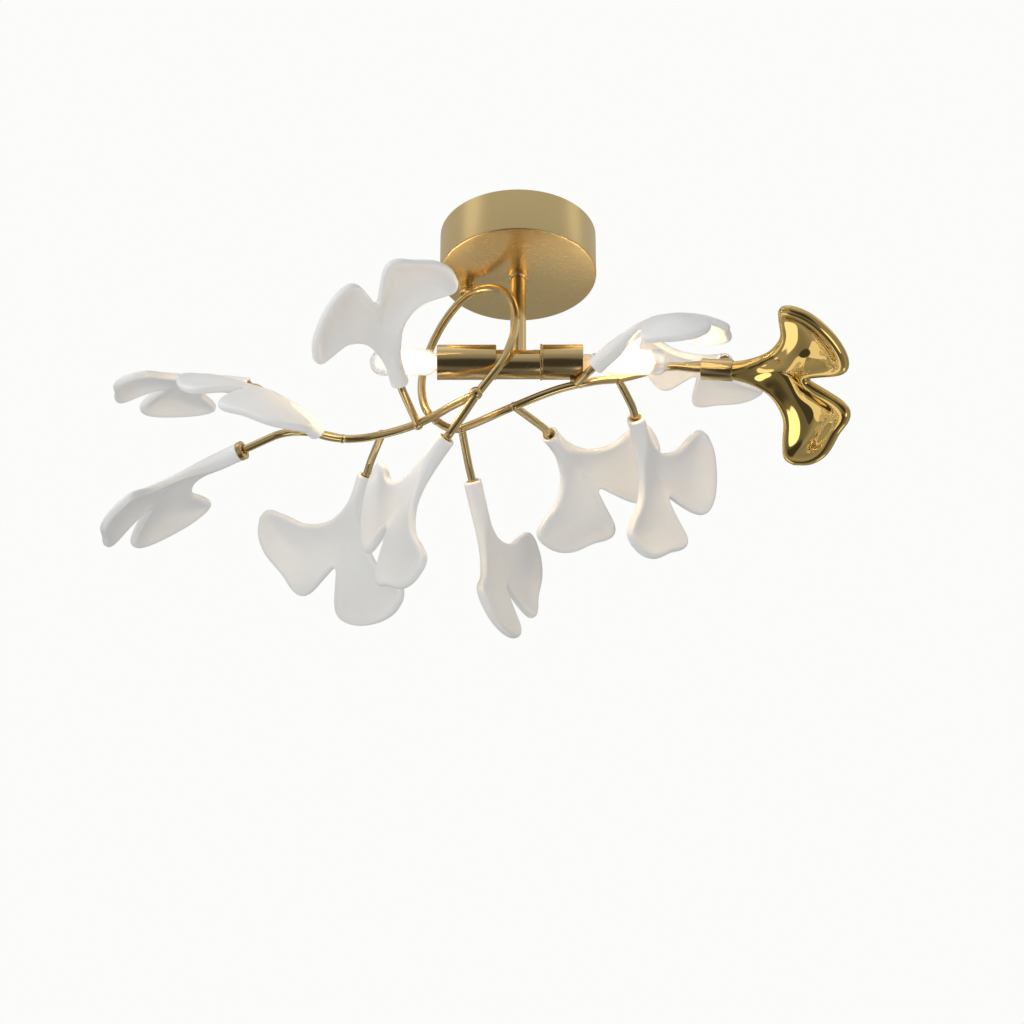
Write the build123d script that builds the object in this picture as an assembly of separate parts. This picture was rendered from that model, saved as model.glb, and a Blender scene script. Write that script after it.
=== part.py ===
from build123d import *

import os
from collections import namedtuple
from math import asin, cos, degrees, radians, sin, tan

# Ceiling light with ginkgo leaves. Millimetres, +Z up, origin on the ceiling at the centre of the
# canopy. +X is the lamp bar's direction, and the light is seen from the -Y side.

# Canopy
canopy_diameter = 120.0
canopy_height = 37.0
canopy_wall = 1.2
canopy_edge_radius = 1.0

# Ceiling bracket: a steel strap with two feet on the ceiling and a raised bridge
bracket_length = 100.0
bracket_width = 22.0
bracket_thickness = 2.0
bridge_length = 48.0
bridge_drop = 14.0
slot_spacing = 72.0
slot_length = 12.0
slot_width = 5.0

# Earth screw in the bridge
earth_screw_diameter = 4.0
earth_screw_head = 8.0
earth_screw_head_height = 2.6
earth_screw_slot = 1.0
earth_screw_x = -15.0

# Threaded nipple with its washer and nut
nipple_diameter = 10.0
nipple_bore = 7.0
nipple_above_bridge = 6.0
nipple_into_stem = 12.0
washer_diameter = 18.0
washer_thickness = 1.0
nut_across_flats = 14.0
nut_thickness = 4.0

# Stem and collar
stem_diameter = 12.0
collar_diameter = 16.0
collar_height = 4.0
collar_edge_radius = 1.2

# Lamp bar
bar_drop = 80.0
hub_diameter = 22.0
hub_wall = 1.5
hub_length = 33.0
cup_diameter = 26.6
cup_wall = 1.2
cup_floor = 3.0
left_cup_length = 44.5
right_cup_length = 30.5
ring_diameter = 27.6
ring_thickness = 1.8
spigot_length = 6.0
spigot_clearance = 0.1
wire_hole_diameter = 7.0
stem_into_hub = 2.0
turned_edge_radius = 0.5
grub_diameter = 3.0
grub_length = 3.0
grub_from_end = 3.0
grub_below_surface = 0.3

# Lampholders and bulbs
holder_diameter = 18.0
holder_length = 16.5
holder_screw_spacing = 11.0
holder_screw_diameter = 2.0
holder_screw_head = 3.6
holder_screw_head_height = 1.2
holder_screw_depth = 4.0
holder_screw_rise = 4.0
pin_spacing = 9.0
pin_diameter = 1.6
pin_length = 9.0
pin_clearance = 0.3
contact_width = 2.6
contact_slot_margin = 1.4
contact_from_face = 3.0
contact_end_wall = 0.8
base_width = 14.0
base_thickness = 7.0
base_length = 18.0
base_edge_radius = 2.0
seat_gap = 0.3
bulb_diameter = 20.0
bulb_neck_diameter = 13.5
bulb_neck_length = 8.0
bulb_shoulder_length = 5.0
bulb_length = 75.5
bulb_wall = 0.9
core_diameter = 10.0
core_length = 40.0
bulb_pull_out = 14.0

# Rods and leaves
rod_diameter = 6.2
stub_diameter = 6.0
rod_gap = 0.4
post_diameter = 12.0
post_x = -39.5
post_y = 10.5
post_edge_radius = 1.5
bush_clearance = 0.08
bush_diameter = 9.0
bush_length = 20.0
bush_lip = 1.2
stub_in_bush = 16.0
leaf_stem_diameter = 15.0
leaf_thickness = 6.0
leaf_length = 113.0
leaf_width = 130.0
leaf_neck = 34.0
post_screw_diameter = 4.0
post_screw_head = 8.0
post_screw_head_height = 2.4
post_screw_depth = 6.0
post_screw_slot = 1.2
lug_length = 9.0
lug_width = 8.4
lug_x = 43.5
lug_y = 4.5

# Wiring
wire_diameter = 1.7
wire_pitch = 2.6
wire_bend = 4.0
wire_over_nipple = 2.4
wire_beside_bracket = 5.0
wire_in_block = 4.0
wire_in_holder = 3.0
block_width = 14.0
block_length = 22.0
block_height = 11.0
block_screw_diameter = 4.0
block_screw_length = 4.0
block_from_nipple = 2.5
wire_hole_in_block = 2.2

# Heights worked out from the sizes above
underside = -canopy_height
bridge_top = -bridge_drop
bridge_bottom = bridge_top - bracket_thickness
bar_height = underside - bar_drop
hub_drop = (cup_diameter - hub_diameter) / 2
hub_height = bar_height - hub_drop
hub_end = hub_length / 2
hub_bore = hub_diameter - 2 * hub_wall
cup_bore = cup_diameter - 2 * cup_wall
left_cup_start = -hub_end
right_cup_start = hub_end + ring_thickness
grub_x = -hub_end + grub_from_end

rod_radius = rod_diameter / 2
# The rods under and in front of the lamp bar keep these distances from its axis
under_cup = cup_diameter / 2 + rod_radius + rod_gap
before_hub = cup_diameter / 2 + rod_radius + rod_gap
# The loop's heights above the bar are drawn for this drop, and follow the real one
drawn_drop = 80.0


def at_bar(x, y, z):
    """A point from its height over the lamp bar's axis; heights above the bar stretch with the drop."""
    stretch = bar_drop / drawn_drop if z > 0 else 1.0
    return Vector(x, y, bar_height + z * stretch)


def along(heading, rise):
    """Unit vector with a heading in plan from +X and a rise over the horizon, in degrees."""
    flat = cos(radians(rise))
    return Vector(flat * cos(radians(heading)), flat * sin(radians(heading)), sin(radians(rise)))


# Where each leaf sits: root is where its stub leaves the rod, via is where the stub bends on the way, seat
# is the end of the leaf's stem, and straight is the rod's straight run before it. Heading, rise and roll
# turn the leaf. Bend and cup are radii of the blade along and across; a minus sign bends it away. Length
# and width scale the common outline.
Leaf = namedtuple("Leaf", "name root via seat straight heading rise roll bend cup length width")

front_leaf = Leaf("front_leaf", at_bar(-76, 34.5, -33.5), [], at_bar(-88.5, -5, -21.5), 8,
                  -104, 21, 143, 240, 175, 0.93, 1.06)
left_leaf = Leaf("left_leaf", at_bar(-141, 50.5, -35), [], at_bar(-153, 41, -35), 6,
                 -121, 2, 38.5, -96, -260, 1.06, 1.0)
far_left_leaf = Leaf("far_left_leaf", at_bar(-164, 50, -29), [at_bar(-181, 50, -9)],
                     at_bar(-209, 54, 14.5), 10, 163, 18, -161, 100, 240, 0.95, 1.0)
low_left_leaf = Leaf("low_left_leaf", at_bar(-134, 52.5, -34.5), [at_bar(-157, 53.5, -27)],
                     at_bar(-211, 60.5, -40), 36, 153, -10, -152, 155, 300, 1.14, 1.0)
hanging_left_leaf = Leaf("hanging_left_leaf", at_bar(-104, 50, -32.2), [], at_bar(-118.5, 104, -36.4), 16,
                         111, -34, -46, -400, -190, 1.02, 1.12)
middle_leaf = Leaf("middle_leaf", at_bar(-41, -0.5, -47.5), [], at_bar(-54, 9, -63), 7,
                   129, -29, -92, 330, 900, 1.08, 1.0)
hanging_middle_leaf = Leaf("hanging_middle_leaf", at_bar(-43, 44, -31), [], at_bar(-35, 76, -59), 16,
                           73, -42, 85, -240, -250, 1.08, 1.0)
hanging_right_leaf = Leaf("hanging_right_leaf", at_bar(-3, 12.5, -31.5), [], at_bar(24, 58, -27.5), 12,
                          66, 2, 40, -95, -250, 1.02, 0.95)
right_back_leaf = Leaf("right_back_leaf", at_bar(75.5, 11.3, -8.2), [], at_bar(89.5, 45, -21.5), 14,
                       76, -16, 64, -120, -240, 1.04, 0.95)
right_front_leaf = Leaf("right_front_leaf", at_bar(43, 4.2, -17), [], at_bar(58, -16, -14), 8,
                        -40, 20, 147, 68, 92, 0.94, 0.97)
back_leaf = Leaf("back_leaf", at_bar(128, 16.3, 7.2), [], at_bar(160, 53, 36), 14,
                 104, 32, -16, -72, 400, 0.9, 0.92)
gold_leaf = Leaf("gold_leaf", at_bar(114.5, 18.4, 9.5), [], at_bar(141, 14.3, 3.3), 8,
                 -9, -10, -158, 180, 185, 1.02, 1.11)

leaves = [front_leaf, left_leaf, far_left_leaf, low_left_leaf, hanging_left_leaf, middle_leaf,
          hanging_middle_leaf, hanging_right_leaf, right_back_leaf, right_front_leaf, back_leaf, gold_leaf]
# Three leaves sit on the ends of the rods, one on a stub of its neighbour's stub, and the others on stubs
leaves_on_rods = [left_leaf, middle_leaf, gold_leaf]
leaves_on_left_rod = [front_leaf, low_left_leaf, hanging_left_leaf]
leaves_on_lower_rod = [hanging_middle_leaf, hanging_right_leaf, right_front_leaf, right_back_leaf, back_leaf]


def leaf_axis(leaf):
    return along(leaf.heading, leaf.rise)


def rod_end(leaf):
    """Last two points of the rod or stub that carries a leaf: before its stem, and inside its bush."""
    axis = leaf_axis(leaf)
    return [leaf.seat - axis * leaf.straight, leaf.seat + axis * stub_in_bush]


# Routes of the long rods
loop_start = at_bar(-62.5, 44, -23.5)
lower_rod_points = [
    loop_start,
    at_bar(-56, 46.5, -28),
    at_bar(-46.5, 46.5, -30.5),
    at_bar(-36, 39, -31),
    at_bar(-24, 27.5, -32.5),
    at_bar(-11, 16, -33),
    at_bar(0, 11, -31),
    at_bar(16, 6.5, -26),
    at_bar(30, 5, -under_cup - 4.2),
    at_bar(40, 4.5, -under_cup - 1.4),
    at_bar(49, 4, -under_cup + 0.3),
    at_bar(61, 6, -12.5),
    at_bar(76, 11.5, -8),
    at_bar(95, 16, 1),
    gold_leaf.root,
    *rod_end(gold_leaf),
]
loop_rod_points = [
    loop_start,
    at_bar(-69, 41.5, -19),
    at_bar(-73, 41.5, -8),
    at_bar(-74.5, 42.5, 7),
    at_bar(-73, 41, 22),
    at_bar(-67.5, 36, 39),
    at_bar(-57, 26, 56.5),
    at_bar(-43, 13, 68),
    at_bar(-31, 7, 72),
    at_bar(-20, 1, 70),
    at_bar(-11, -5, 62.5),
    at_bar(-5, -9.5, 51.5),
    at_bar(-1.5, -12, 37),
    at_bar(-2, -14, 20),
    at_bar(-6, -before_hub, 4),
    at_bar(-11, -before_hub + 0.5, -10),
    at_bar(-20, -12, -20.5),
    at_bar(-31, -7, -33.5),
    middle_leaf.root,
    *rod_end(middle_leaf),
]
left_rod_points = [
    at_bar(-31.5, -6.5, -33),
    at_bar(-50, 10, -32.5),
    at_bar(-60, 21, -32.5),
    at_bar(-77, 34.5, -33.5),
    at_bar(-95, 46, -32.5),
    at_bar(-113, 53, -33),
    at_bar(-129, 54, -34),
    left_leaf.root,
    *rod_end(left_leaf),
]


def bend_radii(points, kept):
    """A bend at each inner point, as wide as its two runs and the straight kept before a bush allow."""
    radii = []
    for before, here, after in zip(points, points[1:], points[2:]):
        turn = (here - before).get_angle(after - here)
        room = 0.45 * min((here - before).length, (after - here).length)
        if after is points[-1]:
            room = min(room, kept)
        radii.append(room / tan(radians(turn) / 2))
    return radii


def rod(points, diameter, leaf):
    """A round rod along straight runs joined by bends, into the leaf's bush."""
    radii = bend_radii(points, leaf.straight - 2 * bush_lip)
    print("rod to", leaf.name, "has bends of", [round(radius) for radius in radii])
    section = Plane(origin=points[0], z_dir=points[1] - points[0]) * Circle(diameter / 2)
    return sweep(section, path=FilletPolyline(*points, radius=radii))


def disc(diameter, bottom, top, x=0, y=0):
    """A vertical cylinder between two heights."""
    return Pos(x, y, (bottom + top) / 2) * Cylinder(diameter / 2, top - bottom)


def turned(diameter, start, end, height=None):
    """A cylinder along X between two places, on the lamp bar's axis or at another height."""
    axis_height = bar_height if height is None else height
    return Pos((start + end) / 2, 0, axis_height) * Rot(0, 90, 0) * Cylinder(diameter / 2, abs(end - start))


# Canopy and what is in it

def ceiling_bracket():
    half = bracket_length / 2
    knee = bridge_length / 2
    outline = [(-half, 0), (-knee, 0), (-knee, bridge_top), (knee, bridge_top), (knee, 0), (half, 0),
               (half, -bracket_thickness), (knee + bracket_thickness, -bracket_thickness),
               (knee + bracket_thickness, bridge_bottom), (-knee - bracket_thickness, bridge_bottom),
               (-knee - bracket_thickness, -bracket_thickness), (-half, -bracket_thickness)]
    section = make_face(Plane.XZ * Polyline(*outline, close=True))
    strap = extrude(section, bracket_width / 2, both=True)
    for side in (-1, 1):
        slot = SlotCenterToCenter(slot_length, slot_width)
        strap -= Pos(side * slot_spacing / 2, 0, 0) * extrude(slot, bracket_thickness * 2, both=True)
    strap -= disc(nipple_diameter, bridge_bottom - 1, bridge_top + 1)
    strap -= disc(earth_screw_diameter, bridge_bottom - 1, bridge_top + 1, x=earth_screw_x)
    return strap


def earth_screw():
    shank = disc(earth_screw_diameter, bridge_bottom, bridge_top + 2, x=earth_screw_x)
    head_bottom = bridge_bottom - earth_screw_head_height
    head = disc(earth_screw_head, head_bottom, bridge_bottom, x=earth_screw_x)
    slot = Box(earth_screw_head + 1, earth_screw_slot, earth_screw_head_height)
    head -= Pos(earth_screw_x, 0, head_bottom - earth_screw_head_height / 4) * slot
    return shank + head


nipple_top = bridge_top + nipple_above_bridge
nipple_bottom = underside - collar_height - nipple_into_stem


def threaded_nipple():
    return disc(nipple_diameter, nipple_bottom, nipple_top) - disc(nipple_bore, nipple_bottom, nipple_top)


def nipple_washer():
    top = bridge_top + washer_thickness
    return disc(washer_diameter, bridge_top, top) - disc(nipple_diameter, bridge_top, top)


def nipple_nut():
    bottom = bridge_top + washer_thickness
    hexagon = RegularPolygon(nut_across_flats / 2, 6, major_radius=False)
    nut = Pos(0, 0, bottom) * extrude(hexagon, nut_thickness)
    return nut - disc(nipple_diameter, bottom, bottom + nut_thickness)


def canopy_shell():
    shell = disc(canopy_diameter, underside, 0)
    shell = fillet(shell.edges().group_by(Axis.Z)[0], canopy_edge_radius)
    shell -= disc(canopy_diameter - 2 * canopy_wall, underside + canopy_wall, 1)
    shell -= disc(nipple_diameter, underside - 1, underside + canopy_wall + 1)
    shell -= disc(post_screw_diameter, underside - 1, underside + canopy_wall + 1, x=post_x, y=post_y)
    return shell


def stem_collar():
    collar = disc(collar_diameter, underside - collar_height, underside)
    collar = fillet(collar.edges().group_by(Axis.Z)[0], collar_edge_radius)
    return collar - disc(nipple_diameter, underside - collar_height, underside)


stem_top = underside - collar_height
stem_bottom = hub_height + hub_diameter / 2 - stem_into_hub


def stem_tube():
    return disc(stem_diameter, stem_bottom, stem_top) - disc(nipple_diameter, stem_bottom, stem_top)


# The block hangs under the bridge, beside the nipple
block_x = nipple_diameter / 2 + block_from_nipple + block_width / 2
block_bottom = bridge_bottom - block_height
block_ways = (-block_width / 4, block_width / 4)
wire_entry_height = bridge_bottom - block_height / 2


def terminal_block():
    block = Pos(block_x, 0, (block_bottom + bridge_bottom) / 2)
    block = block * Box(block_width, block_length, block_height)
    for way in block_ways:
        for side in (-1, 1):
            block -= disc(block_screw_diameter, block_bottom - 1, block_bottom + block_screw_length,
                          x=block_x + way, y=side * block_length / 4)
    for x in wire_entries():
        hole = Pos(x, block_length / 2, wire_entry_height) * Rot(90, 0, 0)
        block -= hole * Cylinder(wire_hole_in_block / 2, 10)
    return block


def terminal_screws():
    screws = []
    for way in block_ways:
        for side in (-1, 1):
            screw = disc(block_screw_diameter - 0.4, block_bottom + 0.6, block_bottom + block_screw_length,
                         x=block_x + way, y=side * block_length / 4)
            slot = Pos(block_x + way, side * block_length / 4, block_bottom + 0.6)
            screws.append(screw - slot * Box(block_screw_diameter, 0.8, 1.6))
    return Compound(screws)


def wire_entries():
    """Places of the four wires along the block, two in each way."""
    return [block_x + way + side * wire_pitch / 2 for way in block_ways for side in (-1, 1)]


def supply_wires():
    """Four wires: block, over the bridge, down the nipple and stem, then to both lampholders."""
    entries = wire_entries()
    outside = bracket_width / 2 + wire_beside_bracket
    wires = []
    low = nipple_top + wire_over_nipple
    high = low + wire_pitch
    for side, back, entry, top in ((-1, 1, entries[0], low), (1, 1, entries[1], low),
                                   (-1, -1, entries[2], high), (1, -1, entries[3], high)):
        x = side * wire_pitch / 2
        y = back * wire_pitch / 2
        holder_back = right_cup_start + cup_floor if side > 0 else left_cup_start - cup_floor
        route = [Vector(entry, block_length / 2 - wire_in_block, wire_entry_height),
                 Vector(entry, outside, wire_entry_height),
                 Vector(entry, outside, top),
                 Vector(x, y, top),
                 Vector(x, y, hub_height),
                 Vector(holder_back + side * wire_in_holder, y, hub_height)]
        radii = []
        for before, here, after in zip(route, route[1:], route[2:]):
            room = min((here - before).length, (after - here).length)
            turn = (here - before).get_angle(after - here)
            radii.append(min(0.42 * room, wire_bend) / tan(radians(turn) / 2))
        path = FilletPolyline(*route, radius=radii)
        section = Plane(origin=route[0], z_dir=route[1] - route[0]) * Circle(wire_diameter / 2)
        wires.append(sweep(section, path=path))
    return Compound(wires)


# Lamp bar

def hub_tube():
    tube = turned(hub_diameter, -hub_end, hub_end, hub_height)
    tube -= turned(hub_bore, -hub_end, hub_end, hub_height)
    tube -= disc(stem_diameter, hub_height, hub_height + hub_diameter)
    tube -= disc(grub_diameter, hub_height - hub_diameter, hub_height, x=grub_x)
    return tube


def hub_grub_screw():
    bottom = hub_height - hub_diameter / 2 + grub_below_surface
    screw = disc(grub_diameter, bottom, bottom + grub_length, x=grub_x)
    socket = Pos(grub_x, 0, bottom) * extrude(RegularPolygon(0.75, 6), 1.2)
    return screw - socket - spigot(left_cup_start, -1)


def spigot(start, side):
    """The neck of a cup inside the hub."""
    return turned(hub_bore - 2 * spigot_clearance, start, start - side * spigot_length, hub_height)


def hub_ring():
    ring = turned(ring_diameter, hub_end, right_cup_start)
    ring = fillet(ring.edges(), turned_edge_radius)
    return ring - turned(hub_bore - 2 * spigot_clearance, hub_end - 1, right_cup_start + 1, hub_height)


def cup(start, side, length):
    """A lamp cup that opens away from the hub, with its spigot in the hub."""
    end = start + side * length
    floor_face = start + side * cup_floor
    shell = turned(cup_diameter, start, end)
    shell = fillet(shell.edges().group_by(Axis.X)[0 if side < 0 else -1], turned_edge_radius)
    shell -= turned(cup_bore, floor_face, end + side)
    neck_start = hub_end if side > 0 else start
    shell += turned(hub_bore - 2 * spigot_clearance, start, neck_start - side * spigot_length, hub_height)
    neck_end = neck_start - side * (spigot_length + 1)
    shell -= turned(wire_hole_diameter, floor_face + side, neck_end, hub_height)
    for y in (-1, 1):
        hole = turned(holder_screw_diameter, start, floor_face + side, bar_height + holder_screw_rise)
        shell -= Pos(0, y * holder_screw_spacing / 2, 0) * hole
    return shell


def lampholder(start, side):
    """Ceramic holder with two pin slots, a counterbored screw hole each side and wire holes at its back."""
    back = start + side * cup_floor
    face = back + side * holder_length
    body = turned(holder_diameter, back, face)
    for y in (-1, 1):
        pin_slot = turned(contact_width + contact_slot_margin, face + side, face - side * (pin_length + 2))
        body -= Pos(0, y * pin_spacing / 2, 0) * pin_slot
        screw_hole = turned(holder_screw_diameter, back - side, face + side, bar_height + holder_screw_rise)
        head_hole = turned(holder_screw_head + 0.4, back + side * holder_screw_depth, face + side,
                           bar_height + holder_screw_rise)
        body -= Pos(0, y * holder_screw_spacing / 2, 0) * screw_hole
        body -= Pos(0, y * holder_screw_spacing / 2, 0) * head_hole
        wire_hole = turned(wire_hole_in_block, back - side, back + side * 4, hub_height)
        body -= Pos(0, y * wire_pitch / 2, 0) * wire_hole
    return body


def lampholder_screws():
    screws = []
    for start, side in ((left_cup_start, -1), (right_cup_start, 1)):
        back = start + side * cup_floor
        for y in (-1, 1):
            height = bar_height + holder_screw_rise
            seat = back + side * holder_screw_depth
            shank = turned(holder_screw_diameter, start + side, seat, height)
            head = turned(holder_screw_head, seat, seat + side * holder_screw_head_height, height)
            screws.append(Pos(0, y * holder_screw_spacing / 2, 0) * (shank + head))
    return Compound(screws)


def holder_contacts():
    """Spring sleeves behind the pin slots."""
    contacts = []
    for start, side in ((left_cup_start, -1), (right_cup_start, 1)):
        face = start + side * (cup_floor + holder_length)
        for y in (-1, 1):
            far_end = pin_length + 2
            outer = turned(contact_width + contact_slot_margin, face - side * contact_from_face,
                           face - side * far_end)
            inner = turned(pin_diameter + 2 * pin_clearance, face - side * (contact_from_face - 1),
                           face - side * (far_end - contact_end_wall))
            contacts.append(Pos(0, y * pin_spacing / 2, 0) * (outer - inner))
    return Compound(contacts)


def bulb_pieces(start, side):
    """Base block, two pins, glass envelope and the lit core, from the holder's face outwards."""
    face = start + side * (cup_floor + holder_length)
    seat = face + side * seat_gap
    base_end = seat + side * base_length
    base = Pos((seat + base_end) / 2, 0, bar_height) * Box(base_length, base_width, base_thickness)
    base = fillet(base.edges().filter_by(Axis.X), base_edge_radius)
    pins = []
    for y in (-1, 1):
        pin = turned(pin_diameter, seat - side * pin_length, seat + side * 2)
        pin = Pos(0, y * pin_spacing / 2, 0) * pin
        pins.append(pin)
        base -= pin
    tip = seat + side * bulb_length

    def profile(inset):
        """Points of the glass from its neck to the start of its round end, and on the round end."""
        neck = bulb_neck_diameter / 2 - inset
        body = bulb_diameter / 2 - inset
        shoulder = base_end + side * bulb_neck_length
        full = shoulder + side * bulb_shoulder_length
        dome = tip - side * bulb_diameter / 2
        side_line = [(base_end, neck), (shoulder, neck), (full, body), (dome, body)]
        halfway = body * cos(radians(45))
        return side_line, (dome + side * halfway, halfway), (dome + side * body, 0)

    outer, outer_mid, outer_end = profile(0)
    inner, inner_mid, inner_end = profile(bulb_wall)
    outline = Polyline(*outer) + ThreePointArc(outer[-1], outer_mid, outer_end) + Line(outer_end, inner_end)
    outline += ThreePointArc(inner_end, inner_mid, inner[-1]) + Polyline(*reversed(inner))
    outline += Line(inner[0], outer[0])
    glass = Pos(0, 0, bar_height) * revolve(make_face(Plane.XZ * outline), Axis.X)
    core = turned(core_diameter, base_end, base_end + side * core_length)
    core = fillet(core.edges().group_by(Axis.X)[-1 if side > 0 else 0], core_diameter / 2 - 1)
    return base, Compound(pins), glass, core


# Rods

def loop_post(loop):
    """Post that carries the loop: a cylinder from the canopy, cut to sit on the rod."""
    bottom = at_bar(0, 0, 69).Z
    post = disc(post_diameter, bottom, underside, x=post_x, y=post_y)
    post = fillet(post.edges().group_by(Axis.Z)[0], post_edge_radius)
    post -= disc(post_screw_diameter, underside - post_screw_depth, underside, x=post_x, y=post_y)
    return post - loop


def post_screw():
    plate_top = underside + canopy_wall
    shank = disc(post_screw_diameter, underside - post_screw_depth, plate_top, x=post_x, y=post_y)
    head = disc(post_screw_head, plate_top, plate_top + post_screw_head_height, x=post_x, y=post_y)
    slot = Box(post_screw_head + 1, post_screw_slot, post_screw_head_height)
    slot = Pos(post_x, post_y, plate_top + post_screw_head_height) * slot
    return shank + head - slot


def cup_lug(lower_rod, stubs):
    """Brazed web between the right cup and the rod under it."""
    top = bar_height - cup_diameter / 2 + 2.0
    bottom = bar_height - under_cup - 1.5
    web = Pos(lug_x, lug_y, (top + bottom) / 2) * Box(lug_length, lug_width, top - bottom)
    web = fillet(web.edges().filter_by(Axis.X), 1.0)
    web -= turned(cup_diameter, lug_x - lug_length, lug_x + lug_length)
    web -= lower_rod
    for piece in stubs:
        web -= piece
    return largest(web)


def stub(leaf, branch):
    """Short rod from a branch into a leaf's bush, cut to fit the branch."""
    return largest(rod([leaf.root, *leaf.via, *rod_end(leaf)], stub_diameter, leaf) - branch)


def largest(shape):
    """The biggest solid, without the slivers that a cut leaves."""
    return max(shape.solids(), key=lambda solid: solid.volume)


# Leaves, drawn with the stem along +Y from the stem's end, and the blade across X

def leaf_plane(leaf):
    """Frame of a leaf: Y along its stem, Z square to its blade."""
    y_dir = leaf_axis(leaf)
    level = Vector(0, 0, 1).cross(y_dir).normalized()
    above = y_dir.cross(level)
    z_dir = above * cos(radians(leaf.roll)) + level * sin(radians(leaf.roll))
    return Plane(origin=leaf.seat, x_dir=y_dir.cross(z_dir), z_dir=z_dir)


def half_outline(leaf):
    """Points of the right half of the blade, laid out flat: stem, shoulder, lobe and notch."""
    wide = leaf_width / 130 * leaf.width * leaf.length
    long = leaf_length / 113 * leaf.length
    stem = leaf_stem_diameter / 2
    flat = {
        "neck": (stem * 0.8, leaf_neck * 0.6),
        "waist": (12 * wide, 36 * long),
        "waist_mid": (19 * wide, 53 * long),
        "shoulder": (36 * wide, 60 * long),
        "corner_start": (56 * wide, 58 * long),
        "corner_mid": (62.6 * wide, 60.5 * long),
        "corner_end": (65 * wide, 66 * long),
        "edge_mid": (55.5 * wide, 92 * long),
        "tip_start": (27 * wide, 112 * long),
        "tip_mid": (17 * wide, 113.5 * long),
        "tip_end": (10 * wide, 106 * long),
        "notch_side": (2.6 * wide, 82 * long),
        "notch": (0, 80 * long),
    }

    def folded(point):
        """Where a flat point lies when the blade is bent and cupped, seen square to the stem."""
        x, y = point
        cup_radius = abs(leaf.cup)
        bend_radius = abs(leaf.bend)
        beyond = y - leaf_neck
        if beyond > 0:
            y = leaf_neck + bend_radius * sin(beyond / bend_radius)
        return (cup_radius * sin(x / cup_radius), y)

    return {key: folded(value) for key, value in flat.items()}


def blade_outline(leaf):
    p = half_outline(leaf)
    right = Line((0, p["neck"][1]), p["neck"])
    right += Line(p["neck"], p["waist"])
    right += ThreePointArc(p["waist"], p["waist_mid"], p["shoulder"])
    right += Line(p["shoulder"], p["corner_start"])
    right += ThreePointArc(p["corner_start"], p["corner_mid"], p["corner_end"])
    right += ThreePointArc(p["corner_end"], p["edge_mid"], p["tip_start"])
    right += ThreePointArc(p["tip_start"], p["tip_mid"], p["tip_end"])
    right += Line(p["tip_end"], p["notch_side"])
    right += Line(p["notch_side"], p["notch"])
    half = make_face(right + Line(p["notch"], (0, p["neck"][1])))
    return half + mirror(half, Plane.YZ)


def curved_slab(leaf):
    """A slab as thick as the blade, bent along the stem's direction and cupped across it."""
    half_thick = leaf_thickness / 2
    cup_radius = abs(leaf.cup)
    reach = half_outline(leaf)["corner_end"][0] + leaf_thickness / 2
    cup_side = 1 if leaf.cup > 0 else -1
    angle = degrees(asin(reach / (cup_radius + half_thick)))
    corners = []
    for radius in (cup_radius + half_thick, cup_radius - half_thick):
        side_x = radius * sin(radians(angle))
        side_z = cup_side * (cup_radius - radius * cos(radians(angle)))
        corners.append(((-side_x, side_z), (0, cup_side * (cup_radius - radius)), (side_x, side_z)))
    outer, inner = corners
    outline = ThreePointArc(*outer) + Line(outer[2], inner[2]) + ThreePointArc(*inner[::-1])
    outline += Line(inner[0], outer[0])
    section = make_face(Plane(origin=(0, leaf_neck, 0), x_dir=(1, 0, 0), z_dir=(0, -1, 0)) * outline)
    bend_radius = abs(leaf.bend)
    bend_side = 1 if leaf.bend > 0 else -1
    axis = Axis((0, leaf_neck, bend_side * bend_radius), (bend_side, 0, 0))
    forward = degrees((leaf_length * leaf.length - leaf_neck + leaf_thickness) / bend_radius)
    backward = degrees(leaf_neck * 0.8 / bend_radius)
    start = section.rotate(axis, -backward)
    return revolve(start, axis, forward + backward)


def leaf_solid(leaf):
    """Blade cut from a curved slab, with a round stem bored for the bush."""
    blade = extrude(blade_outline(leaf), 90, both=True) & curved_slab(leaf)
    stem_radius = leaf_stem_diameter / 2
    profile = Polyline((0, 0), (stem_radius, 0), (stem_radius * 0.92, leaf_neck * 0.8),
                       (leaf_thickness * 0.45, leaf_neck * 1.6), (0, leaf_neck * 1.6), close=True)
    stem = revolve(make_face(profile), Axis.Y)
    solid = blade + stem
    bore = Rot(-90, 0, 0) * Pos(0, 0, bush_length / 2) * Cylinder(bush_diameter / 2, bush_length)
    solid -= bore
    return leaf_plane(leaf) * largest(solid)


def leaf_bush(leaf):
    """Brass sleeve glued in the stem, standing a little out of it, on which the leaf turns."""
    pin = rod_diameter if leaf in leaves_on_rods else stub_diameter
    length = bush_length + bush_lip
    middle = Rot(-90, 0, 0) * Pos(0, 0, length / 2 - bush_lip)
    sleeve = middle * Cylinder(bush_diameter / 2, length)
    sleeve -= middle * Cylinder(pin / 2 + bush_clearance, length + 2)
    return leaf_plane(leaf) * sleeve


def write(name, shape):
    shape.label = name
    export_step(shape, f"parts/{name}.step")


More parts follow.
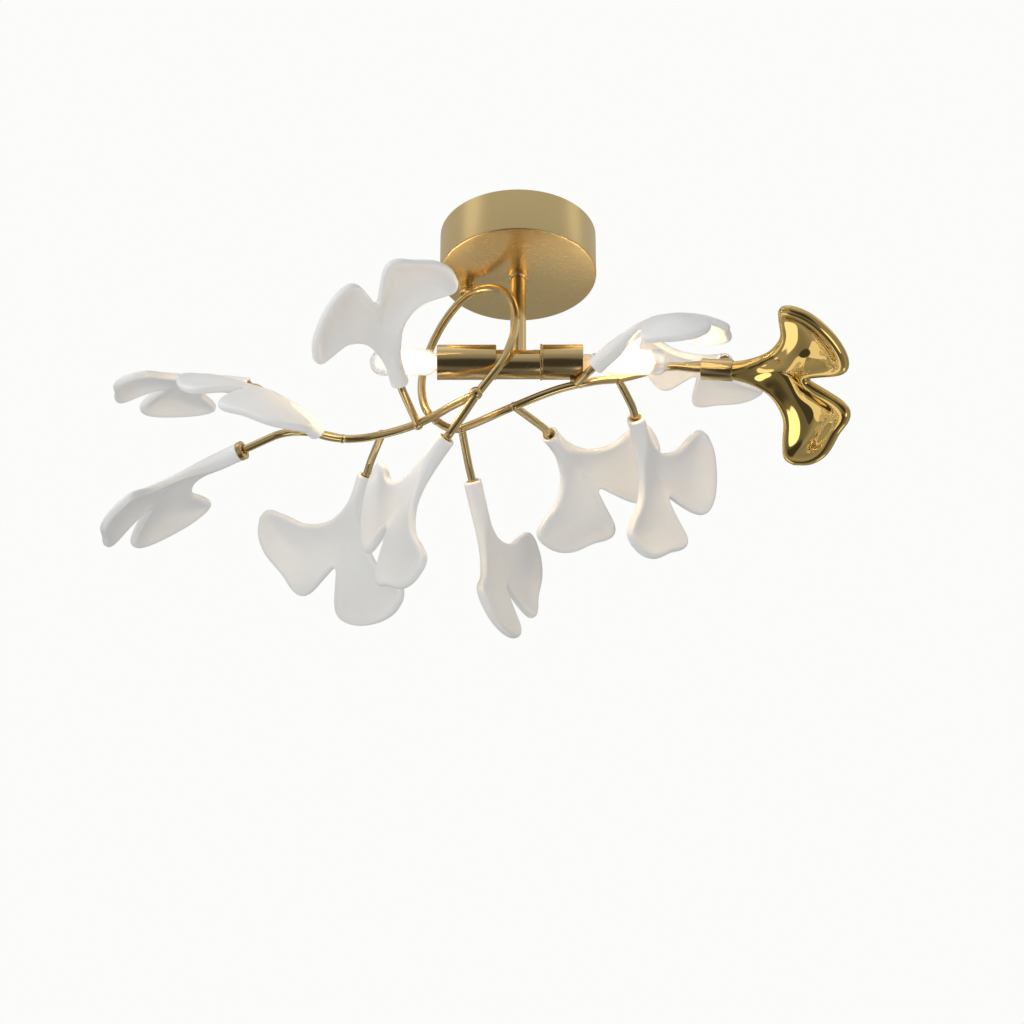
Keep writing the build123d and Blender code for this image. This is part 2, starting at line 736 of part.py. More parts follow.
def main():
    os.makedirs("parts", exist_ok=True)
    write("ceiling_bracket", ceiling_bracket())
    write("earth_screw", earth_screw())
    write("threaded_nipple", threaded_nipple())
    write("nipple_washer", nipple_washer())
    write("nipple_nut", nipple_nut())
    write("canopy_shell", canopy_shell())
    write("stem_collar", stem_collar())
    write("stem_tube", stem_tube())
    write("terminal_block", terminal_block())
    write("terminal_screws", terminal_screws())
    write("supply_wires", supply_wires())
    write("hub_tube", hub_tube())
    write("hub_grub_screw", hub_grub_screw())
    write("hub_ring", hub_ring())
    write("left_cup", cup(left_cup_start, -1, left_cup_length))
    write("right_cup", cup(right_cup_start, 1, right_cup_length))
    write("left_lampholder", lampholder(left_cup_start, -1))
    write("right_lampholder", lampholder(right_cup_start, 1))
    write("lampholder_screws", lampholder_screws())
    write("lampholder_contacts", holder_contacts())
    for place, start, side in (("left", left_cup_start, -1), ("right", right_cup_start, 1)):
        base, pins, glass, core = bulb_pieces(start, side)
        write(f"{place}_bulb_base", base)
        write(f"{place}_bulb_pins", pins)
        write(f"{place}_bulb_glass", glass)
        write(f"{place}_bulb_core", core)

    lower_rod = rod(lower_rod_points, rod_diameter, gold_leaf)
    loop_rod = rod(loop_rod_points, rod_diameter, middle_leaf)
    left_rod = largest(rod(left_rod_points, rod_diameter, left_leaf) - loop_rod)
    write("lower_rod", lower_rod)
    write("loop_rod", loop_rod)
    write("left_rod", left_rod)
    write("loop_post", loop_post(loop_rod))
    write("post_screw", post_screw())
    stubs = [stub(leaf, left_rod) for leaf in leaves_on_left_rod]
    stubs += [stub(leaf, lower_rod) for leaf in leaves_on_lower_rod]
    stubs.append(stub(far_left_leaf, stubs[leaves_on_left_rod.index(low_left_leaf)]))
    write("leaf_stubs", Compound(stubs))
    write("cup_lug", cup_lug(lower_rod, stubs))

    for leaf in leaves:
        write(leaf.name, leaf_solid(leaf))
        write(f"{leaf.name}_bush", leaf_bush(leaf))


main()
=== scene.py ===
from collections import namedtuple
from math import cos, pi, radians, sin, sqrt

import bmesh
import bpy
from mathutils import Matrix, Vector
from mathutils.kdtree import KDTree


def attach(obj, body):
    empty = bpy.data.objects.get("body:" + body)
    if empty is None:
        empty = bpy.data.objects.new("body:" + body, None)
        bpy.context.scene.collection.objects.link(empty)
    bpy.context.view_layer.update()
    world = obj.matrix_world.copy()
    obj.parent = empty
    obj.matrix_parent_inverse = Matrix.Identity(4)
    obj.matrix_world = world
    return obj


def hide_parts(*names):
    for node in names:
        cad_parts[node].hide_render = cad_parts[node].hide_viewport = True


# Ceiling light with ginkgo leaves. Lengths here are in millimetres and become metres when a piece is
# finished. Origin on the ceiling at the centre of the canopy, +X along the lamp bar, front towards -Y.

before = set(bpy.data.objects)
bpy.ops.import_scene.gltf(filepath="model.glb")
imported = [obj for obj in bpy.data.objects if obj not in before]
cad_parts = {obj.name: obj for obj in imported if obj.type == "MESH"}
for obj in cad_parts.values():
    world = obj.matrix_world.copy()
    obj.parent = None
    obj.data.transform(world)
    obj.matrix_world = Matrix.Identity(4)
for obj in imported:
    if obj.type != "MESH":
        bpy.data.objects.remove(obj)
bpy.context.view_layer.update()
mm = 0.001

# Sizes of the metalwork
canopy_radius = 60.0
canopy_height = 37.0
canopy_wall = 1.2
stem_radius = 6.0
stem_in_hub = 2.0
collar_radius = 8.0
collar_height = 4.0
nipple_radius = 5.0
bar_height = -117.0
hub_radius = 11.0
hub_wall = 1.5
hub_end = 16.5
hub_height = -119.3
ring_radius = 13.8
ring_thickness = 1.8
cup_radius = 13.3
cup_wall = 1.2
cup_floor = 3.0
wire_hole_radius = 3.5
spigot_length = 6.0
spigot_clearance = 0.1
left_cup_length = 44.5
right_cup_length = 30.5
rod_radius = 3.1
stub_radius = 3.0
post_radius = 6.0
post_over_bar = 70.5
post_groove_height = 3.6
post_groove_width = 1.8
post_groove_depth = 0.8
post_groove_slope = 0.3
post_place = (-39.5, 10.5)

# Sizes of the bulbs
holder_length = 16.5
seat_gap = 0.3
base_length = 18.0
bulb_length = 75.5
bulb_radius = 10.0
bulb_neck_radius = 6.75
bulb_neck_length = 8.0
bulb_shoulder_length = 5.0
bulb_wall = 0.9
# The lit body in the bulb: its start over the base, the radius it starts with, and its gaps to the glass
lit_body_start = 6.5
lit_body_start_radius = 3.5
lit_body_gap = 0.8
lit_body_shoulder_gap = 1.0
lit_body_side_end = 4.0
lit_body_end = 0.5
glow_strength = 1.15
glass_thinness = 0.45

# Sizes of the leaves
leaf_stem_radius = 6.9
# The rolled rim: how far it is rounded, half its thickness, how square, where the blade inside it begins,
# how much thinner that is, and how far it steps and dishes away from the side seen
Rim = namedtuple("Rim", "reach height fullness inside hollow step dish")
white_rim = Rim(2.8, 3.2, 2.5, 8.0, 1.2, 0.9, 1.8)
gold_rim = Rim(5.0, 4.5, 2.1, 12.5, 3.0, 2.2, 2.6)
# How far inside the rim the dish grows, and the lengths from the stem's end over which it grows, the stem
# turns flat, the blade is hollowed, and its width, length and cup come in
dish_reach = (7.0, 22.0)
dishing = (26.0, 54.0)
flattening = (16.0, 50.0)
hollowing = (30.0, 56.0)
widening = (18.0, 50.0)
lengthening = (10.0, 40.0)
cupping = (10.0, 40.0)
leaf_neck = 34.0
gold_sleeve = (8.2, 22.0)
stem_ring = (7.4, 2.6)
sleeve_before_stem = 2.0
sleeve_floor = 0.5
sleeve_bore_clearance = 0.1
sleeve_over_stem = 0.2
bush_radius = 4.5
bush_depth = 20.0
stub_in_bush = 16.0
# Depth and radius of the rings from the stem's rounded end to the bottom of its bore
stem_end_rings = ((-0.9, leaf_stem_radius - 0.35), (-1.4, leaf_stem_radius - 1.3), (-1.3, bush_radius + 0.5),
                  (-0.8, bush_radius), (bush_depth, bush_radius))
blade_smoothing_rounds = 4
slope_step = 0.2

# Light, floor and camera; the camera looks up at the light from below, as in the photograph
world_light = 0.5
# The glow of each bulb on the leaves: power, radius of the lamp and places along the lamp bar
bulb_light = 0.36
bulb_light_radius = 8.0
bulb_light_places = (-86, 88)
# Soft lamps that stand round the light: place, side of the square and power
lamps = [("key_light", (-1500, -900, 900), 900, 16), ("fill_light", (1500, -1500, -600), 1600, 5),
         ("low_light", (-900, -1300, -1300), 900, 6)]
lamps_face = (0, 0, -120)
tent_radius = 1600.0
# Height from the tent's bottom (0) to its top (1), and brightness there
tent_stops = [(0.0, 0.15), (0.07, 0.2), (0.2, 0.38), (0.45, 0.26), (0.6, 0.33), (0.78, 0.55), (1.0, 0.45)]
# Direction, inner and outer spread in degrees, and brightness of the tent's patches
tent_patches = [((0, -0.8, -0.6), 20, 36, 0.05), ((-0.93, -0.37, 0.75), 7, 15, 1.0),
                ((1.0, -0.05, 0.75), 6, 13, 0.9), ((0, -0.3, 0.95), 10, 26, 0.9),
                ((-0.66, 0.5, -0.56), 20, 21, 0.95), ((-0.34, 0.2, -0.92), 16, 18, 0.06),
                ((0.36, -0.2, -0.88), 10, 12, 1.7), ((0.32, 0.63, -0.69), 7, 9, 1.3)]
floor_height = -1750.0
floor_half_width = 12000.0
# Brightness that the floor shows to the camera, on top of the light it catches
floor_lift = 0.5
camera_place = Vector((0, -1771.7, -1324.2)) * mm
camera_pitch = 31.256
camera_yaw = 0.151
camera_lens = 100.0
camera_sensor = 36.0
camera_reach = 50.0


def at_bar(x, y, z):
    """A point from its height over the lamp bar's axis."""
    return Vector((x, y, bar_height + z))


# Pieces

def add_object(name, mesh, material, body, replaced=()):
    """Puts a finished mesh, in metres, on its body with its finish."""
    piece = bpy.data.objects.new(name, mesh)
    bpy.context.scene.collection.objects.link(piece)
    mesh.materials.clear()
    mesh.materials.append(material)
    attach(piece, body)
    if replaced:
        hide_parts(*replaced)
    return piece


def to_mesh(bm, name, crease=35.0):
    """Closes a bmesh into a smooth mesh in metres, with sharp edges past the crease angle."""
    mesh = bpy.data.meshes.new(name)
    bm.to_mesh(mesh)
    bm.free()
    mesh.transform(Matrix.Scale(mm, 4))
    mesh.shade_smooth()
    mesh.set_sharp_from_angle(angle=radians(crease))
    return mesh


def turned_piece(outline, soft=(), steps=96, closed=False):
    """Lathe work about +Z: the outline holds (radius, height) points, and soft gives the corners to round."""
    bm = bmesh.new()
    corners = [bm.verts.new((radius, 0, height)) for radius, height in outline]
    for first, second in zip(corners, corners[1:]):
        bm.edges.new((first, second))
    if closed:
        bm.edges.new((corners[-1], corners[0]))
    for index, offset in soft:
        bmesh.ops.bevel(bm, geom=[corners[index]], offset=offset, offset_type="OFFSET", segments=4,
                        profile=0.5, affect="VERTICES", material=-1)
    bmesh.ops.spin(bm, geom=bm.verts[:] + bm.edges[:], cent=(0, 0, 0), axis=(0, 0, 1), angle=2 * pi,
                   steps=steps, use_merge=True)
    bmesh.ops.remove_doubles(bm, verts=bm.verts[:], dist=0.0005)
    bmesh.ops.recalc_face_normals(bm, faces=bm.faces[:])
    return bm


def laid_along_x(bm, start, side, height=bar_height):
    """Turns lathe work so that its +Z runs along X from a place on the lamp bar."""
    turn = Matrix.Rotation(radians(90 * side), 4, "Y")
    bmesh.ops.transform(bm, matrix=Matrix.Translation((start, 0, height)) @ turn, verts=bm.verts[:])
    return bm


def bent_rod(points, radius, steps=10):
    """A round rod whose centre line is drawn smoothly between its bends."""
    curve = bpy.data.curves.new("centre_line", "CURVE")
    curve.dimensions = "3D"
    line = curve.splines.new("NURBS")
    line.points.add(len(points) - 1)
    for place, point in zip(line.points, points):
        place.co = (*point, 1)
    line.order_u = 3
    line.use_endpoint_u = True
    line.resolution_u = steps
    curve.bevel_depth = radius
    curve.bevel_resolution = 6
    curve.use_fill_caps = True
    holder = bpy.data.objects.new("centre_line", curve)
    bpy.context.scene.collection.objects.link(holder)
    bpy.context.view_layer.update()
    mesh = bpy.data.meshes.new_from_object(holder.evaluated_get(bpy.context.evaluated_depsgraph_get()))
    bpy.data.objects.remove(holder)
    bpy.data.curves.remove(curve)
    bm = bmesh.new()
    bm.from_mesh(mesh)
    bpy.data.meshes.remove(mesh)
    bmesh.ops.remove_doubles(bm, verts=bm.verts[:], dist=0.0005)
    bmesh.ops.recalc_face_normals(bm, faces=bm.faces[:])
    return bm


def joined(parts):
    """One bmesh from several."""
    whole = bmesh.new()
    for part in parts:
        mesh = bpy.data.meshes.new("part")
        part.to_mesh(mesh)
        part.free()
        whole.from_mesh(mesh)
        bpy.data.meshes.remove(mesh)
    return whole


# Materials

def new_material(name):
    """A material with its nodes, links and shader."""
    material = bpy.data.materials.new(name)
    material.use_nodes = True
    nodes = material.node_tree.nodes
    return material, nodes, material.node_tree.links, nodes["Principled BSDF"]


def linear(red, green, blue):
    """A colour from its 0-255 values on screen."""
    def channel(value):
        value = value / 255
        return value / 12.92 if value <= 0.04045 else ((value + 0.055) / 1.055) ** 2.4
    return (channel(red), channel(green), channel(blue), 1.0)


def new_group(name, inputs, outputs):
    """An empty shader node group with its sockets."""
    group = bpy.data.node_groups.new(name, "ShaderNodeTree")
    for label, kind, value in inputs:
        socket = group.interface.new_socket(name=label, in_out="INPUT", socket_type=kind)
        socket.default_value = value
    for label, kind in outputs:
        group.interface.new_socket(name=label, in_out="OUTPUT", socket_type=kind)
    into = group.nodes.new("NodeGroupInput")
    out = group.nodes.new("NodeGroupOutput")
    return group, into, out


def cloudy_tone_group():
    """Slow change of tone between two near colours, with the same change given out as a mask."""
    group, into, out = new_group(
        "cloudy_tone",
        [("Light", "NodeSocketColor", (0.8, 0.8, 0.8, 1)), ("Dark", "NodeSocketColor", (0.7, 0.7, 0.7, 1)),
         ("Scale", "NodeSocketFloat", 20.0), ("Contrast", "NodeSocketFloat", 0.5)],
        [("Colour", "NodeSocketColor"), ("Mask", "NodeSocketFloat")])
    nodes, links = group.nodes, group.links
    place = nodes.new("ShaderNodeTexCoord")
    cloud = nodes.new("ShaderNodeTexNoise")
    cloud.inputs["Detail"].default_value = 4.0
    cloud.inputs["Roughness"].default_value = 0.55
    links.new(place.outputs["Object"], cloud.inputs["Vector"])
    links.new(into.outputs["Scale"], cloud.inputs["Scale"])
    stretch = nodes.new("ShaderNodeMapRange")
    stretch.inputs["From Min"].default_value = 0.3
    stretch.inputs["From Max"].default_value = 0.7
    links.new(cloud.outputs["Fac"], stretch.inputs["Value"])
    links.new(into.outputs["Contrast"], stretch.inputs["To Max"])
    mix = nodes.new("ShaderNodeMix")
    mix.data_type = "RGBA"
    links.new(stretch.outputs["Result"], mix.inputs["Factor"])
    links.new(into.outputs["Light"], mix.inputs["A"])
    links.new(into.outputs["Dark"], mix.inputs["B"])
    links.new(mix.outputs["Result"], out.inputs["Colour"])
    links.new(stretch.outputs["Result"], out.inputs["Mask"])
    return group


def fine_grain_group():
    """Fine grain, stretched by its three scales, as a height and a mask."""
    group, into, out = new_group(
        "fine_grain",
        [("Stretch", "NodeSocketVector", (1, 1, 1)), ("Scale", "NodeSocketFloat", 900.0)],
        [("Height", "NodeSocketFloat"), ("Mask", "NodeSocketFloat")])
    nodes, links = group.nodes, group.links
    place = nodes.new("ShaderNodeTexCoord")
    run = nodes.new("ShaderNodeVectorMath")
    run.operation = "MULTIPLY"
    links.new(place.outputs["Object"], run.inputs[0])
    links.new(into.outputs["Stretch"], run.inputs[1])
    grain = nodes.new("ShaderNodeTexNoise")
    grain.inputs["Detail"].default_value = 3.0
    grain.inputs["Roughness"].default_value = 0.6
    links.new(run.outputs["Vector"], grain.inputs["Vector"])
    links.new(into.outputs["Scale"], grain.inputs["Scale"])
    mask = nodes.new("ShaderNodeMapRange")
    mask.inputs["From Min"].default_value = 0.35
    mask.inputs["From Max"].default_value = 0.65
    links.new(grain.outputs["Fac"], mask.inputs["Value"])
    links.new(grain.outputs["Fac"], out.inputs["Height"])
    links.new(mask.outputs["Result"], out.inputs["Mask"])
    return group


cloudy_tone = cloudy_tone_group()
fine_grain = fine_grain_group()


def finish(name, light, dark, metallic, rough_low, rough_high, tone_scale=18.0, contrast=0.6,
           grain_scale=900.0, grain_stretch=(1, 1, 1), grain_depth=0.02, coat=0.0, coat_rough=0.1):
    """A plain finish: cloudy tone, roughness from the grain, and the grain as a shallow bump."""
    material, nodes, links, shader = new_material(name)
    tone = nodes.new("ShaderNodeGroup")
    tone.node_tree = cloudy_tone
    tone.inputs["Light"].default_value = light
    tone.inputs["Dark"].default_value = dark
    tone.inputs["Scale"].default_value = tone_scale
    tone.inputs["Contrast"].default_value = contrast
    grain = nodes.new("ShaderNodeGroup")
    grain.node_tree = fine_grain
    grain.inputs["Stretch"].default_value = grain_stretch
    grain.inputs["Scale"].default_value = grain_scale
    rough = nodes.new("ShaderNodeMapRange")
    rough.inputs["To Min"].default_value = rough_low
    rough.inputs["To Max"].default_value = rough_high
    links.new(grain.outputs["Mask"], rough.inputs["Value"])
    bump = nodes.new("ShaderNodeBump")
    bump.inputs["Strength"].default_value = 0.5
    bump.inputs["Distance"].default_value = grain_depth * mm
    links.new(grain.outputs["Height"], bump.inputs["Height"])
    links.new(tone.outputs["Colour"], shader.inputs["Base Color"])
    links.new(rough.outputs["Result"], shader.inputs["Roughness"])
    links.new(bump.outputs["Normal"], shader.inputs["Normal"])
    shader.inputs["Metallic"].default_value = metallic
    shader.inputs["Coat Weight"].default_value = coat
    shader.inputs["Coat Roughness"].default_value = coat_rough
    return material


def bulb_glass_material():
    """Clear glass that lets the glow's light through to the leaves near it."""
    material, nodes, links, shader = new_material("bulb_glass")
    shader.inputs["Base Color"].default_value = (1, 0.985, 0.95, 1)
    shader.inputs["Transmission Weight"].default_value = 1.0
    shader.inputs["IOR"].default_value = 1.45
    wavy = nodes.new("ShaderNodeGroup")
    wavy.node_tree = fine_grain
    wavy.inputs["Scale"].default_value = 160.0
    rough = nodes.new("ShaderNodeMapRange")
    rough.inputs["To Min"].default_value = 0.01
    rough.inputs["To Max"].default_value = 0.06
    links.new(wavy.outputs["Mask"], rough.inputs["Value"])
    links.new(rough.outputs["Result"], shader.inputs["Roughness"])
    bump = nodes.new("ShaderNodeBump")
    bump.inputs["Strength"].default_value = 0.6
    bump.inputs["Distance"].default_value = 0.9 * mm
    links.new(wavy.outputs["Height"], bump.inputs["Height"])
    links.new(bump.outputs["Normal"], shader.inputs["Normal"])
    clear = nodes.new("ShaderNodeBsdfTransparent")
    path = nodes.new("ShaderNodeLightPath")
    mix = nodes.new("ShaderNodeMixShader")
    thin = nodes.new("ShaderNodeMath")
    thin.operation = "MAXIMUM"
    thin.inputs[1].default_value = glass_thinness
    links.new(path.outputs["Is Shadow Ray"], thin.inputs[0])
    links.new(thin.outputs["Value"], mix.inputs["Fac"])
    links.new(shader.outputs["BSDF"], mix.inputs[1])
    links.new(clear.outputs["BSDF"], mix.inputs[2])
    links.new(mix.outputs["Shader"], nodes["Material Output"].inputs["Surface"])
    return material


def bulb_glow_material():
    """The lit body: warm white, a little stronger in patches."""
    material, nodes, links, shader = new_material("bulb_glow")
    tone = nodes.new("ShaderNodeGroup")
    tone.node_tree = cloudy_tone
    tone.inputs["Light"].default_value = linear(255, 250, 238)
    tone.inputs["Dark"].default_value = linear(255, 240, 214)
    tone.inputs["Scale"].default_value = 60.0
    tone.inputs["Contrast"].default_value = 0.6
    facing = nodes.new("ShaderNodeLayerWeight")
    facing.inputs["Blend"].default_value = 0.35
    edge = nodes.new("ShaderNodeMix")
    edge.data_type = "RGBA"
    edge.inputs["B"].default_value = linear(255, 232, 190)
    links.new(facing.outputs["Facing"], edge.inputs["Factor"])
    links.new(tone.outputs["Colour"], edge.inputs["A"])
    links.new(edge.outputs["Result"], shader.inputs["Base Color"])
    links.new(edge.outputs["Result"], shader.inputs["Emission Color"])
    shader.inputs["Emission Strength"].default_value = glow_strength
    shader.inputs["Roughness"].default_value = 0.6
    return material


satin_brass = finish("satin_brass", linear(228, 201, 144), linear(221, 192, 132), 1.0, 0.15, 0.19,
                     contrast=0.3, grain_scale=1400.0, grain_depth=0.0006)
brushed_brass = finish("brushed_brass", linear(228, 202, 146), linear(222, 195, 137), 1.0, 0.27, 0.33,
                       contrast=0.3, grain_scale=1500.0, grain_stretch=(0.12, 1.2, 1.6), grain_depth=0.001)
gold_mirror = finish("gold_mirror", linear(240, 206, 128), linear(234, 198, 118), 1.0, 0.03, 0.05,
                     grain_scale=300.0, grain_depth=0.0005)
white_glaze = finish("white_glaze", linear(239, 239, 238), linear(232, 231, 229), 0.0, 0.30, 0.38,
                     tone_scale=22.0, grain_scale=260.0, grain_depth=0.04, coat=0.25, coat_rough=0.2)
zinc_steel = finish("zinc_steel", linear(196, 198, 200), linear(170, 172, 176), 1.0, 0.28, 0.45)
pin_metal = finish("pin_metal", linear(205, 205, 206), linear(180, 181, 184), 1.0, 0.2, 0.35)
holder_ceramic = finish("holder_ceramic", linear(232, 228, 218), linear(222, 217, 206), 0.0, 0.5, 0.65,
                        grain_depth=0.02)
block_plastic = finish("block_plastic", linear(236, 236, 232), linear(226, 226, 222), 0.0, 0.4, 0.5)
wire_cover = finish("wire_cover", linear(224, 220, 210), linear(212, 208, 198), 0.0, 0.45, 0.6)
bulb_glass = bulb_glass_material()
bulb_glow = bulb_glow_material()


# Canopy, stem and lamp bar

def make_canopy():
    bottom = -canopy_height
    shell = turned_piece(
        [(canopy_radius, 0), (canopy_radius, bottom), (nipple_radius, bottom),
         (nipple_radius, bottom + canopy_wall), (canopy_radius - canopy_wall, bottom + canopy_wall),
         (canopy_radius - canopy_wall, 0)],
        soft=[(1, 1.0)], steps=160, closed=True)
    add_object("canopy", to_mesh(shell, "canopy"), brushed_brass, "fixture", ["canopy_shell"])


def make_stem():
    top = -canopy_height
    collar_bottom = top - collar_height
    hub_top = hub_height + hub_radius - stem_in_hub
    collar = turned_piece([(nipple_radius, top), (collar_radius, top), (collar_radius, collar_bottom),
                           (nipple_radius, collar_bottom)], soft=[(2, 1.3)], steps=64, closed=True)
    add_object("collar", to_mesh(collar, "collar"), satin_brass, "fixture", ["stem_collar"])
    stem = turned_piece([(nipple_radius, collar_bottom), (stem_radius, collar_bottom), (stem_radius, hub_top),
                         (nipple_radius, hub_top)], steps=64, closed=True)
    add_object("stem", to_mesh(stem, "stem"), satin_brass, "fixture", ["stem_tube"])


def make_cup(name, start, side, length, spigot_from):
    """A lamp cup with rounded edges, its floor and its neck in the hub."""
    bore = cup_radius - cup_wall
    neck = hub_radius - hub_wall - spigot_clearance
    neck_end = -(abs(start - spigot_from) + spigot_length)
    shell = turned_piece(
        [(wire_hole_radius, neck_end), (neck, neck_end), (neck, 0), (cup_radius, 0), (cup_radius, length),
         (bore, length), (bore, cup_floor), (wire_hole_radius, cup_floor)],
        soft=[(3, 0.6), (4, 0.35), (5, 0.35)], steps=96, closed=True)
    laid_along_x(shell, start, side)
    add_object(f"{name}_lamp_cup", to_mesh(shell, name), satin_brass, "fixture",
               [f"{name}_cup"])


def make_hub():
    tube = turned_piece(
        [(hub_radius - hub_wall, -hub_end), (hub_radius, -hub_end), (hub_radius, hub_end),
         (hub_radius - hub_wall, hub_end)], soft=[(1, 0.3), (2, 0.3)], steps=96, closed=True)
    laid_along_x(tube, 0, 1, hub_height)
    add_object("hub", to_mesh(tube, "hub"), satin_brass, "fixture", ["hub_tube"])
    ring = turned_piece(
        [(hub_radius - hub_wall, 0), (ring_radius, 0), (ring_radius, ring_thickness),
         (hub_radius - hub_wall, ring_thickness)], soft=[(1, 0.6), (2, 0.6)], steps=96, closed=True)
    laid_along_x(ring, hub_end, 1)
    add_object("bar_ring", to_mesh(ring, "bar_ring"), satin_brass, "fixture", ["hub_ring"])


# Bulbs

def make_bulb(name, start, side):
    """Glass envelope with a drawn tip, and the lit body inside it."""
    base_end = cup_floor + holder_length + seat_gap + base_length
    tip = cup_floor + holder_length + seat_gap + bulb_length
    full = base_end + bulb_neck_length + bulb_shoulder_length
    dome = tip - bulb_radius

    def envelope(inset):
        round_end = [((bulb_radius - inset) * cos(radians(a)), dome + (bulb_radius - inset) * sin(radians(a)))
                     for a in (15, 30, 45, 60, 75)]
        return [(bulb_neck_radius - inset, base_end), (bulb_neck_radius - inset, base_end + bulb_neck_length),
                (bulb_radius - inset, full), (bulb_radius - inset, dome), *round_end,
                (0, dome + bulb_radius - inset)]

    glass = turned_piece(envelope(0) + envelope(bulb_wall)[::-1], steps=64, closed=True)
    laid_along_x(glass, start, side)
    add_object(f"{name}_envelope", to_mesh(glass, name), bulb_glass, f"{name}_bulb",
               [f"{name}_bulb_glass"])
    body = bulb_radius - bulb_wall - lit_body_gap
    lit_start = base_end + lit_body_start
    lit = turned_piece([(0, lit_start), (lit_body_start_radius, lit_start),
                        (body, full + lit_body_shoulder_gap), (body, dome - lit_body_side_end),
                        (0, dome - lit_body_end)],
                       soft=[(1, 1.0), (2, 2.5), (3, 3.0)], steps=48)
    laid_along_x(lit, start, side)
    lit_body = add_object(f"{name}_lit_body", to_mesh(lit, name, 60), bulb_glow, f"{name}_bulb",
                          [f"{name}_bulb_core"])
    lit_body.visible_shadow = False


# Leaves: seat is the end of the stem; heading, rise and roll turn the leaf; bend and cup are radii of the
# blade along and across, and a minus sign bends it away; length and width scale the outline

Leaf = namedtuple("Leaf", "name root via seat straight heading rise roll bend cup length width")

front_leaf = Leaf("front_leaf", at_bar(-76, 34.5, -33.5), [], at_bar(-88.5, -5, -21.5), 8,
                  -104, 21, 143, 240, 175, 0.93, 1.06)
left_leaf = Leaf("left_leaf", at_bar(-141, 50.5, -35), [], at_bar(-153, 41, -35), 6,
                 -121, 2, 38.5, -96, -260, 1.06, 1.0)
far_left_leaf = Leaf("far_left_leaf", at_bar(-164, 50, -29), [at_bar(-181, 50, -9)],
                     at_bar(-209, 54, 14.5), 10, 163, 18, -161, 100, 240, 0.95, 1.0)
low_left_leaf = Leaf("low_left_leaf", at_bar(-134, 52.5, -34.5), [at_bar(-157, 53.5, -27)],
                     at_bar(-211, 60.5, -40), 36, 153, -10, -152, 155, 300, 1.14, 1.0)
hanging_left_leaf = Leaf("hanging_left_leaf", at_bar(-104, 50, -32.2), [], at_bar(-118.5, 104, -36.4), 16,
                         111, -34, -46, -400, -190, 1.02, 1.12)
middle_leaf = Leaf("middle_leaf", at_bar(-41, -0.5, -47.5), [], at_bar(-54, 9, -63), 7,
                   129, -29, -92, 330, 900, 1.08, 1.0)
hanging_middle_leaf = Leaf("hanging_middle_leaf", at_bar(-43, 44, -31), [], at_bar(-35, 76, -59), 16,
                           73, -42, 85, -240, -250, 1.08, 1.0)
hanging_right_leaf = Leaf("hanging_right_leaf", at_bar(-3, 12.5, -31.5), [], at_bar(24, 58, -27.5), 12,
                          66, 2, 40, -95, -250, 1.02, 0.95)
right_back_leaf = Leaf("right_back_leaf", at_bar(75.5, 11.3, -8.2), [], at_bar(89.5, 45, -21.5), 14,
                       76, -16, 64, -120, -240, 1.04, 0.95)
right_front_leaf = Leaf("right_front_leaf", at_bar(43, 4.2, -17), [], at_bar(58, -16, -14), 8,
                        -40, 20, 147, 68, 92, 0.94, 0.97)
back_leaf = Leaf("back_leaf", at_bar(128, 16.3, 7.2), [], at_bar(160, 53, 36), 14,
                 104, 32, -16, -72, 400, 0.9, 0.92)
gold_leaf = Leaf("gold_leaf", at_bar(114.5, 18.4, 9.5), [], at_bar(141, 14.3, 3.3), 8,
                 -9, -10, -158, 180, 185, 1.02, 1.11)
white_leaves = [front_leaf, left_leaf, far_left_leaf, low_left_leaf, hanging_left_leaf, middle_leaf,
                hanging_middle_leaf, hanging_right_leaf, right_back_leaf, right_front_leaf, back_leaf]
# The hand of the lobe with a wave in its end, seen in the leaf's own frame
leaf_waves = {"front_leaf": 1, "left_leaf": -1, "far_left_leaf": 1, "low_left_leaf": 1,
              "hanging_left_leaf": -1, "middle_leaf": 1, "hanging_middle_leaf": 1,
              "hanging_right_leaf": -1, "right_back_leaf": -1, "right_front_leaf": 1, "back_leaf": 1,
              "gold_leaf": 1}
leaves_on_stubs = [front_leaf, low_left_leaf, hanging_left_leaf, hanging_middle_leaf, hanging_right_leaf,
                   right_front_leaf, right_back_leaf, back_leaf, far_left_leaf]

# Half of the outline laid out flat: the side from the stem's end to the corner, and the end from the
# notch over the lobe to the corner. One lobe of each leaf has a wave in its end
leaf_side = [(6.9, 0), (6.7, 10), (7.3, 22), (10.5, 35), (18.0, 49), (33, 58.5), (50, 58.5), (61.5, 60),
             (65, 68)]
plain_end = [(0, 79.8), (1.7, 80.7), (3.4, 86), (6.5, 95), (10.5, 105.5), (17, 112.5), (28, 112), (41, 105),
             (53, 94), (62, 81), (65, 68)]
waved_end = [(0, 79.8), (1.7, 80.7), (3.4, 86), (6.5, 95), (9.5, 105), (15, 113.5), (25, 112), (36, 103),
             (50, 97), (61.5, 83), (65, 68)]
notch_depth = 79.8
rim_steps = (0.0, 0.12, 0.5, 1.2, 2.2, 3.4, 4.8, 6.6, 9.0, 12.0)
rim_points = 2000
inner_columns = 12
inner_rows = 38


def ease(value, low, high):
    """Rises smoothly from 0 at low to 1 at high."""
    t = min(max((value - low) / (high - low), 0.0), 1.0)
    return t * t * (3 - 2 * t)


def smooth_line(points, t):
    """A place on a smooth line through points, t from 0 to 1."""
    last = len(points) - 1
    index = min(int(t * last), last - 1)
    part = t * last - index
    before = Vector(points[max(index - 1, 0)])
    here = Vector(points[index])
    after = Vector(points[index + 1])
    beyond = Vector(points[min(index + 2, last)])
    return 0.5 * (2 * here + (after - before) * part
                  + (2 * before - 5 * here + 4 * after - beyond) * part ** 2
                  + (3 * here - before - 3 * after + beyond) * part ** 3)


